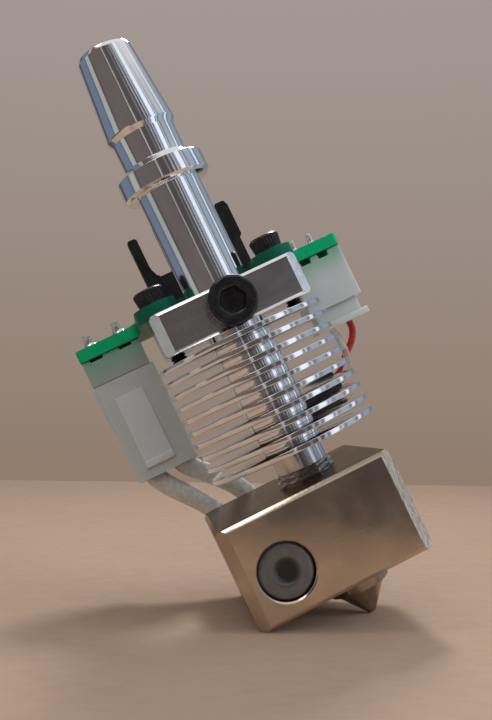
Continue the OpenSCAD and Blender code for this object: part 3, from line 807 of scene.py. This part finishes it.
def make_stem():
    outline = [
        (LINER_BORE_R, SPIGOT_BOTTOM), (SPIGOT_R - 0.2, SPIGOT_BOTTOM), (SPIGOT_R, SPIGOT_BOTTOM + 0.2),
        (SPIGOT_R, STEM_SHOULDER), (STEM_R - 0.2, STEM_SHOULDER), (STEM_R, STEM_SHOULDER + 0.2),
        *((STEM_R, height) for height in SHADING_RINGS), (STEM_R, 0),
        (FLANGE_R - 0.35, 0), (FLANGE_R, 0.35), (FLANGE_R, FLANGE_TOP),
        (STEM_R, NECK_LOW), (STEM_R, NECK_TOP),
        (CONE_BASE_R - 0.05, CONE_BASE - 0.15), (CONE_BASE_R, CONE_BASE), (CONE_TOP_R, CONE_TOP),
        (CONE_TOP_R - 0.2, CONE_TOP + 0.45), (CONE_TOP_R - 0.55, STEM_TOP), (LINER_BORE_R + 0.5, STEM_TOP),
        (LINER_BORE_R, STEM_TOP - 0.5),
    ]
    bm = turned(rounded(outline, 0.09, closed=True), sides=144, closed=True)
    stem = piece("turned_stem", bm, "polished_aluminium", stands_for=["stem"])
    # dimple for the clamp screw's tip
    drill = bpy.data.objects.new("drill", bpy.data.meshes.new("drill"))
    cutter = turned([(0, 0), (1.62, 0), (1.62, 3), (0, 3)], sides=48)
    bmesh.ops.recalc_face_normals(cutter, faces=cutter.faces)
    screw_low, screw_high = box_mm("clamp_screw")
    screw_z = (screw_low.z + screw_high.z) / 2
    move(cutter, shift(0, screw_high.y + 0.05, screw_z) @ Matrix.Rotation(math.pi / 2, 4, "X"))
    cutter.to_mesh(drill.data)
    cutter.free()
    bpy.context.scene.collection.objects.link(drill)
    boolean = stem.modifiers.new("dimple", "BOOLEAN")
    boolean.object = drill
    boolean.solver = "EXACT"
    bake_modifiers(stem)
    bpy.data.objects.remove(drill)


def bake_modifiers(made):
    """Turns the modified shape into the mesh itself, without the slivers that a cut leaves."""
    graph = bpy.context.evaluated_depsgraph_get()
    mesh = bpy.data.meshes.new_from_object(made.evaluated_get(graph))
    bm = bmesh.new()
    bm.from_mesh(mesh)
    bmesh.ops.remove_doubles(bm, verts=bm.verts, dist=0.0005 * MM)
    bmesh.ops.dissolve_degenerate(bm, edges=bm.edges, dist=0.0005 * MM)
    stray = [edge for edge in bm.edges if not edge.link_faces]
    bmesh.ops.delete(bm, geom=stray, context="EDGES")
    bm.to_mesh(mesh)
    bm.free()
    mesh.set_sharp_from_angle(angle=math.radians(SMOOTH_ANGLE))
    made.modifiers.clear()
    made.data = mesh


def make_heatsink():
    fins, pitch, thick, core_r = 10, 1.515, 0.6, 3.6
    low, high = box_mm("heatsink")
    outline = [(BREAK_SOCKET_R, low.z)]
    for i in range(fins):
        z = low.z + i * pitch
        if i:
            outline.append((core_r, z))
        outline += [(high.x, z), (high.x, z + thick), (core_r, z + thick)]
    outline += [(core_r, high.z), (SPIGOT_SOCKET_R, high.z), (SPIGOT_SOCKET_R, SPIGOT_BOTTOM - 0.1)]
    outline += [(LINER_BORE_R, SPIGOT_BOTTOM - 0.1), (LINER_BORE_R, BREAK_SOCKET_TOP)]
    outline += [(BREAK_SOCKET_R, BREAK_SOCKET_TOP)]
    bm = turned(rounded(outline, 0.1, closed=True), sides=160, closed=True)
    piece("finned_heatsink", bm, "polished_aluminium", stands_for=["heatsink"])


def make_heat_break():
    low, high = box_mm("heat_break")
    barrel, spigot, collar_low, collar_high = 3.1, 2.1, -37.0, -35.75
    barrel_top = box_mm("heatsink")[0].z - 0.02
    thread_top = collar_low + 0.02
    rings = [(FILAMENT_BORE_R, high.z), (spigot - 0.3, high.z), (spigot, high.z - 0.3)]
    rings += [(spigot, barrel_top), (barrel - 0.15, barrel_top)]
    rings += [(barrel, barrel_top - 0.15), (barrel, collar_high + 0.02)]
    rings = rounded(rings, 0.06)
    # hexagonal collar with two turns of coarse thread across it
    apothem, steps = 3.1, 20
    for i in range(steps + 1):
        z = collar_high - (collar_high - collar_low) * i / steps
        rings.append((apothem, z, threaded_hexagon))
    rings.append((M6_R, thread_top - 0.03))
    rings += reversed(thread_rings(M6_R, DEPTH_M6, PITCH_M6, low.z + 0.3, thread_top - 0.1))
    rings += [(2.5, low.z), (FILAMENT_BORE_R, low.z)]
    bm = turned(rings, sides=96, closed=True)
    piece("turned_heat_break", bm, "plain_steel", stands_for=["heat_break"])


def make_nozzle():
    low, high = box_mm("nozzle")
    tip, hex_low, hex_high = low.z, -51.1, -48.45
    apothem, orifice = 3.5, 0.2
    rings = [(orifice, tip), (0.42, tip), (0.5, tip + 0.06), (3.0, hex_low - 0.06), (3.08, hex_low)]
    for share, z in ((0.97, hex_low), (1.02, hex_low + 0.06), (1.16, hex_low + 0.5), (1.16, hex_high - 0.3)):
        rings.append((apothem, z, hexagon_cut(apothem * share)))
    rings.append((apothem, hex_high, hexagon_cut(apothem * 1.04)))
    rings.append((2.5, hex_high))
    rings += thread_rings(M6_R, DEPTH_M6, PITCH_M6, hex_high + 0.15, high.z - 0.2)
    rings += [(2.5, high.z), (FILAMENT_BORE_R, high.z), (FILAMENT_BORE_R, tip + 1.9), (orifice, tip + 1.1)]
    bm = turned(rings, sides=96, closed=True)
    piece("turned_nozzle", bm, "nozzle_metal", body="nozzle", stands_for=["nozzle"])


def cap_screw(length, radius, depth, pitch, head_low_r, head_r, head_h, socket, socket_depth, teeth, sides):
    """Cap screw along +Z with its head's underside at 0, in mm. The socket's size is across its flats."""
    cut = knurled(0.07, teeth)
    rings = [(0, -length), (radius - 0.3, -length)]
    rings += thread_rings(radius, depth, pitch, -length + 0.12, -0.12)
    rings += [(radius, -0.06), (radius, 0), (head_low_r - 0.1, 0), (head_low_r, 0.1)]
    knurl_low, knurl_high = 0.22, head_h - 0.42
    for i in range(4):
        share = i / 3
        radius_here = head_low_r + (head_r - head_low_r) * share
        rings.append((radius_here, knurl_low + (knurl_high - knurl_low) * share, cut))
    half = socket / 2
    top = [(head_r, knurl_high + 0.08), (head_r - 0.05, head_h - 0.2), (head_r - 0.3, head_h)]
    rings += rounded(top + [(half + 0.42, head_h)], 0.12)
    rings += [(half + 0.3, head_h - 0.06), (half + 0.02, head_h - 0.3, hexagon)]
    rings += [(half, head_h - 0.4, hexagon), (half, head_h - socket_depth, hexagon)]
    rings += [(0, head_h - socket_depth - 0.35)]
    return turned(rings, sides=sides)


def make_clamp_screw():
    low, high = box_mm("clamp_screw")
    head_h = 3.0
    underside = low.y + head_h
    bm = cap_screw(
        length=high.y - underside, radius=1.5, depth=DEPTH_M3, pitch=PITCH_M3,
        head_low_r=2.7, head_r=2.75, head_h=head_h, socket=2.5, socket_depth=1.6, teeth=36, sides=288,
    )
    move(bm, shift(0, underside, (low.z + high.z) / 2) @ Matrix.Rotation(math.pi / 2, 4, "X"))
    piece("clamp_cap_screw", bm, "black_steel", body="clamp_screw", stands_for=["clamp_screw"], smooth=40)


def make_board_screw(name):
    low, high = box_mm(name)
    centre = (low + high) / 2
    head_h = 1.9
    underside = high.z - head_h
    bm = cap_screw(
        length=underside - low.z, radius=1.0, depth=DEPTH_M2, pitch=PITCH_M2,
        head_low_r=1.68, head_r=1.85, head_h=head_h, socket=1.5, socket_depth=1.0, teeth=30, sides=240,
    )
    move(bm, shift(centre.x, centre.y, underside))
    piece(name + "_piece", bm, "black_steel", body=name, stands_for=[name], smooth=40)


def make_lock_screw(name):
    """Grub screw with a hexagon socket in its lower end."""
    low, high = box_mm(name)
    centre = (low + high) / 2
    length = high.z - low.z
    rings = [(0, 1.25), (0.75, 0.9, hexagon), (0.75, 0.12, hexagon), (0.95, 0), (1.2, 0)]
    rings += thread_rings(1.5, DEPTH_M3, PITCH_M3, 0.15, length - 0.15)
    rings += [(1.2, length), (0, length)]
    bm = turned(rings, sides=96)
    move(bm, shift(centre.x, centre.y, low.z))
    piece(name + "_piece", bm, "black_steel", body=name, stands_for=[name])


def make_cartridge():
    low, high = box_mm("heater_cartridge")
    centre = (low + high) / 2
    length, r = high.y - low.y, (high.x - low.x) / 2
    # a dished middle and a rounded rim in front, a shallow recess behind
    outline = [(0, 0.34), (0.9, 0.34), (1.25, 0.18), (1.45, 0.04), (1.7, 0), (2.45, 0), (2.75, 0.06)]
    outline += [(r, 0.32), (r, length), (1.9, length), (1.9, length - 0.7), (0, length - 0.7)]
    bm = turned(rounded(outline, 0.12), sides=96)
    move(bm, shift(centre.x, low.y, centre.z) @ Matrix.Rotation(-math.pi / 2, 4, "X"))
    piece("cartridge_body", bm, "cartridge_steel", stands_for=["heater_cartridge"])


def make_sensor():
    low, high = box_mm("temperature_sensor")
    centre = (low + high) / 2
    length, r = high.y - low.y, (high.x - low.x) / 2
    groove = r - 0.12
    outline = [(0, 0), (r - 0.5, 0), (r, 0.5), (r, length - 1.6), (groove, length - 1.5)]
    outline += [(groove, length - 1.1), (r, length - 1.0), (r, length), (0, length)]
    bm = turned(rounded(outline, 0.2), sides=64)
    move(bm, shift(centre.x, low.y, centre.z) @ Matrix.Rotation(-math.pi / 2, 4, "X"))
    piece("sensor_capsule", bm, "plain_steel", stands_for=["temperature_sensor"])


def make_liner():
    low, high = box_mm("liner_tube")
    outline = [(FILAMENT_BORE_R, low.z), (2.0, low.z), (2.0, high.z), (FILAMENT_BORE_R + 0.25, high.z)]
    outline += [(FILAMENT_BORE_R, high.z - 0.25)]
    bm = turned(rounded(outline, 0.05, closed=True), sides=64, closed=True)
    piece("liner", bm, "liner_plastic", stands_for=["liner_tube"])


# ---------------------------------------------------------------- board and connectors

def bevelled(name, width):
    """The CAD node's own shape, its flat triangles joined and its sharp edges rounded by that width (mm)."""
    source = NODES[name].data
    bm = bmesh.new()
    verts = [bm.verts.new(vertex.co) for vertex in source.vertices]
    for polygon in source.polygons:
        bm.faces.new([verts[i] for i in polygon.vertices])
    bmesh.ops.remove_doubles(bm, verts=bm.verts, dist=0.003 * MM)
    bmesh.ops.dissolve_limit(bm, angle_limit=math.radians(1), verts=bm.verts, edges=bm.edges)
    sharp = [edge for edge in bm.edges if edge.calc_face_angle(0) > math.radians(28)]
    bmesh.ops.bevel(
        bm, geom=sharp, offset=width * MM, offset_type="OFFSET", segments=2, profile=0.5,
        affect="EDGES", clamp_overlap=True,
    )
    return bm


def make_bevelled_pieces():
    """The pieces that are flat-sided, each with its look and the width of its rounded edges (mm)."""
    for name, new_name, slot, width in (
        ("clamp_block", "bevelled_clamp", "clamp_aluminium", 0.1),
        ("heater_block", "bevelled_heater_block", "nickel_plate", 0.1),
        ("locating_fork", "moulded_fork", "black_plastic", 0.12),
        ("heater_header", "moulded_heater_header", "white_nylon", 0.12),
        ("heater_plug", "moulded_heater_plug", "white_nylon", 0.12),
        ("sensor_header", "moulded_sensor_header", "white_nylon", 0.12),
        ("sensor_plug", "moulded_sensor_plug", "white_nylon", 0.1),
        ("heater_header_pins", "power_pins", "tinned_metal", 0.12),
        ("sensor_header_pins", "signal_pins", "tinned_metal", 0.08),
        ("heater_plug_contacts", "power_contacts", "contact_metal", 0.08),
        ("sensor_plug_contacts", "signal_contacts", "contact_metal", 0.06),
        ("circuit_board", "printed_board", "green_board", 0.05),
    ):
        piece(new_name, bevelled(name, width), slot, stands_for=[name])


POWER_PINS = [(-16.33, 13.9), (-12.37, 13.9)]
SIGNAL_PINS = [(13.3, 13.8), (15.8, 13.8)]
BOARD_TOP = box_mm("circuit_board")[1].z


def make_solder():
    """A concave cone of solder round each pin. A row gives the pins, the cone's two radii and its height."""
    joined = bmesh.new()
    for pins, pad, pin, height in ((POWER_PINS, 1.15, 0.6, 1.1), (SIGNAL_PINS, 0.75, 0.34, 0.8)):
        for k, (x, y) in enumerate(pins):
            rings = [(0, 0.0), (pad - 0.04, 0.0), (pad, 0.03)]
            for i in range(1, 13):
                up = i / 12
                rings.append((pin + (pad - pin) * (1 - up) ** 2.3, 0.03 + height * up))
            rings += [(pin * 0.6, height + 0.07), (0, height + 0.08)]

            def lumpy(angle, radius, z, seed=k):
                return radius * (1 + 0.05 * math.sin(2 * angle + 1.7 * seed) * (1 - z / height)), z

            bm = turned([(*ring, lumpy) for ring in rings], sides=48)
            move(bm, shift(x, y, BOARD_TOP))
            part = bpy.data.meshes.new("part")
            bm.to_mesh(part)
            bm.free()
            joined.from_mesh(part)
            bpy.data.meshes.remove(part)
    piece("solder_cones", joined, "solder", stands_for=["solder_joints"])


# ---------------------------------------------------------------- leads

HEATER_LEAD_LEFT = [
    (-16.33, 13.9, -25.2), (-16.33, 13.9, -28.6), (-15.9, 13.9, -30.4), (-14.9, 14, -32.1),
    (-13.5, 14.1, -33.9), (-12.1, 14.2, -35.7), (-10.9, 14.3, -37.7), (-9.9, 14.3, -39.9),
    (-9.2, 14.1, -41.9), (-8.95, 13.4, -43.2), (-8.95, 12.2, -43.7), (-8.95, 9.5, -43.7),
]
HEATER_LEAD_RIGHT = [
    (-12.37, 13.9, -25.2), (-12.37, 13.9, -28.6), (-11.9, 13.9, -30.4), (-10.5, 14, -32),
    (-8.8, 14.1, -33.8), (-7.2, 14.2, -35.8), (-6.1, 14.3, -38), (-5.7, 14.3, -40.2),
    (-5.8, 14.1, -42), (-6.25, 13.4, -43.2), (-6.25, 12.2, -43.7), (-6.25, 9.5, -43.7),
]
SENSOR_LEAD_RIGHT = [
    (15.8, 13.8, -20.2), (15.8, 13.8, -23), (15.65, 13.7, -24.2), (14.8, 13.6, -25.5),
    (13.2, 13.5, -26.9), (12, 13.4, -28.2), (10.6, 13.4, -28.8), (7.5, 13.4, -29.4),
    (3.5, 13.4, -30.15), (1.2, 13.4, -30.6), (-0.5, 13.6, -31.3), (-1.4, 14, -33.2),
    (-1, 14.3, -35.8), (0.6, 14.4, -38.6), (2.6, 14.3, -41.1), (4.1, 13.9, -42.9),
    (4.48, 12.9, -43.9), (4.48, 9.2, -44),
]
SENSOR_LEAD_LEFT = [
    (13.3, 13.8, -20.2), (13.3, 13.8, -23), (13.4, 13.2, -24.4), (13.3, 12.4, -25.9),
    (12.95, 12.05, -27.3), (12.1, 12.05, -28.6), (10.6, 12.6, -29.65), (7.5, 12.6, -30.25),
    (3.5, 12.6, -31), (1.2, 12.6, -31.45), (0.3, 12.9, -32.4), (0.2, 13.4, -34.2),
    (1, 13.8, -36.6), (2.7, 14, -39.2), (4.5, 13.9, -41.5), (5.7, 13.5, -43.1),
    (5.92, 12.6, -43.9), (5.92, 9.2, -44),
]


HEATER_LEAD_R = 1.3
SENSOR_LEAD_R = 0.45


def smooth_path(points, step):
    """Points about one step apart (mm) on a smooth curve through the given ones."""
    knots = [Vector(point) for point in points]
    knots = [2 * knots[0] - knots[1]] + knots + [2 * knots[-1] - knots[-2]]
    made = []
    for i in range(1, len(knots) - 2):
        a, b, c, d = knots[i - 1:i + 3]
        count = max(2, round((c - b).length / step))
        for k in range(count):
            t = k / count
            made.append(0.5 * (2 * b + (c - a) * t + (2 * a - 5 * b + 4 * c - d) * t * t
                               + (3 * b - a - 3 * c + d) * t ** 3))
    return made + [knots[-2]]


def tube(points, radius, sides, step, surface=None):
    """A round lead along the points (mm); surface(angle, along) adds to its radius."""
    path = smooth_path(points, step)
    bm = bmesh.new()
    loops = []
    side = None
    along = 0.0
    for i, here in enumerate(path):
        ahead = (path[min(i + 1, len(path) - 1)] - path[max(i - 1, 0)]).normalized()
        if side is None:
            side = ahead.orthogonal().normalized()
        else:
            side = (side - ahead * side.dot(ahead)).normalized()
            along += (here - path[i - 1]).length
        other = ahead.cross(side)
        loop = []
        for k in range(sides):
            angle = 2 * math.pi * k / sides
            r = radius + (surface(angle, along) if surface else 0)
            loop.append(bm.verts.new((here + side * r * math.cos(angle) + other * r * math.sin(angle)) * MM))
        loops.append(loop)
    for low, high in zip(loops, loops[1:]):
        for k in range(sides):
            n = (k + 1) % sides
            bm.faces.new((low[k], low[n], high[n], high[k]))
    bm.faces.new(list(reversed(loops[0])))
    bm.faces.new(loops[-1])
    return bm


def braid(depth, strands, lay):
    """Two crossing helices of flat strands, one over the other in turn, a turn in each lay (mm)."""
    def surface(angle, along):
        turn = 2 * math.pi * along / lay
        one = math.cos(strands * angle + turn * strands)
        two = math.cos(strands * angle - turn * strands)
        return -depth * (1 - 0.5 * abs(one) - 0.5 * abs(two)) - 0.3 * depth * (one * two > 0)
    return surface


def make_leads():
    for name, points in (("heater_lead_left", HEATER_LEAD_LEFT), ("heater_lead_right", HEATER_LEAD_RIGHT)):
        weave = braid(depth=0.05, strands=8, lay=12.0)
        bm = tube(points, HEATER_LEAD_R, sides=72, step=0.13, surface=weave)
        piece(name + "_braid", bm, "glass_fibre_sleeve", stands_for=[name])
    for name, points, slot in (
        ("sensor_lead_right", SENSOR_LEAD_RIGHT, "red_insulation"),
        ("sensor_lead_left", SENSOR_LEAD_LEFT, "white_insulation"),
    ):
        bm = tube(points, SENSOR_LEAD_R, sides=24, step=0.3)
        piece(name + "_wire", bm, slot, stands_for=[name])


def make_sleeve():
    """The shrunk tube round the sensor's two leads, a little wrinkled and drawn in at its ends."""
    right, left = Vector((10.6, 13, -29.2)), Vector((1.2, 13, -31))
    run = right - left
    length, bore, outer = run.length, 1.35, 1.84

    def wrinkled(angle, radius, height):
        spot = Vector((math.cos(angle) * 1.2, math.sin(angle) * 1.2, height * 1.1))
        return radius * (1 + 0.03 * noise.noise(spot) - 0.02), height

    rings = [(bore, 0), (outer - 0.2, 0), (outer - 0.06, 0.12)]
    steps = 40
    rings += [(outer, 0.35 + (length - 0.7) * i / steps, wrinkled) for i in range(steps + 1)]
    rings += [(outer - 0.06, length - 0.12), (outer - 0.2, length), (bore, length)]
    bm = turned(rings, sides=64, closed=True)
    turn = run.to_track_quat("Z", "X").to_matrix().to_4x4()
    move(bm, Matrix.Translation(left * MM) @ turn)
    piece("shrunk_sleeve", bm, "shrink_sleeve", stands_for=["sensor_lead_sleeve"])


def dress_nodes():
    """Gives the CAD's own nodes their looks, though a piece stands for each of them."""
    slots = {part["node"]: part["material_slot"] for part in frame["record"]["subparts"]}
    for name, made in NODES.items():
        made.data.materials.clear()
        made.data.materials.append(LOOKS[slots[name]])


make_camera()
make_world()
make_floor()
make_lights()
dress_nodes()
make_stem()
make_heatsink()
make_heat_break()
make_nozzle()
make_clamp_screw()
for screw in ("board_screw_left", "board_screw_right"):
    make_board_screw(screw)
for screw in ("cartridge_lock_screw", "sensor_lock_screw"):
    make_lock_screw(screw)
make_cartridge()
make_sensor()
make_liner()
make_bevelled_pieces()
make_solder()
make_leads()
make_sleeve()

bpy.context.scene.view_settings.view_transform = "Standard"
bpy.context.scene.view_settings.look = "None"
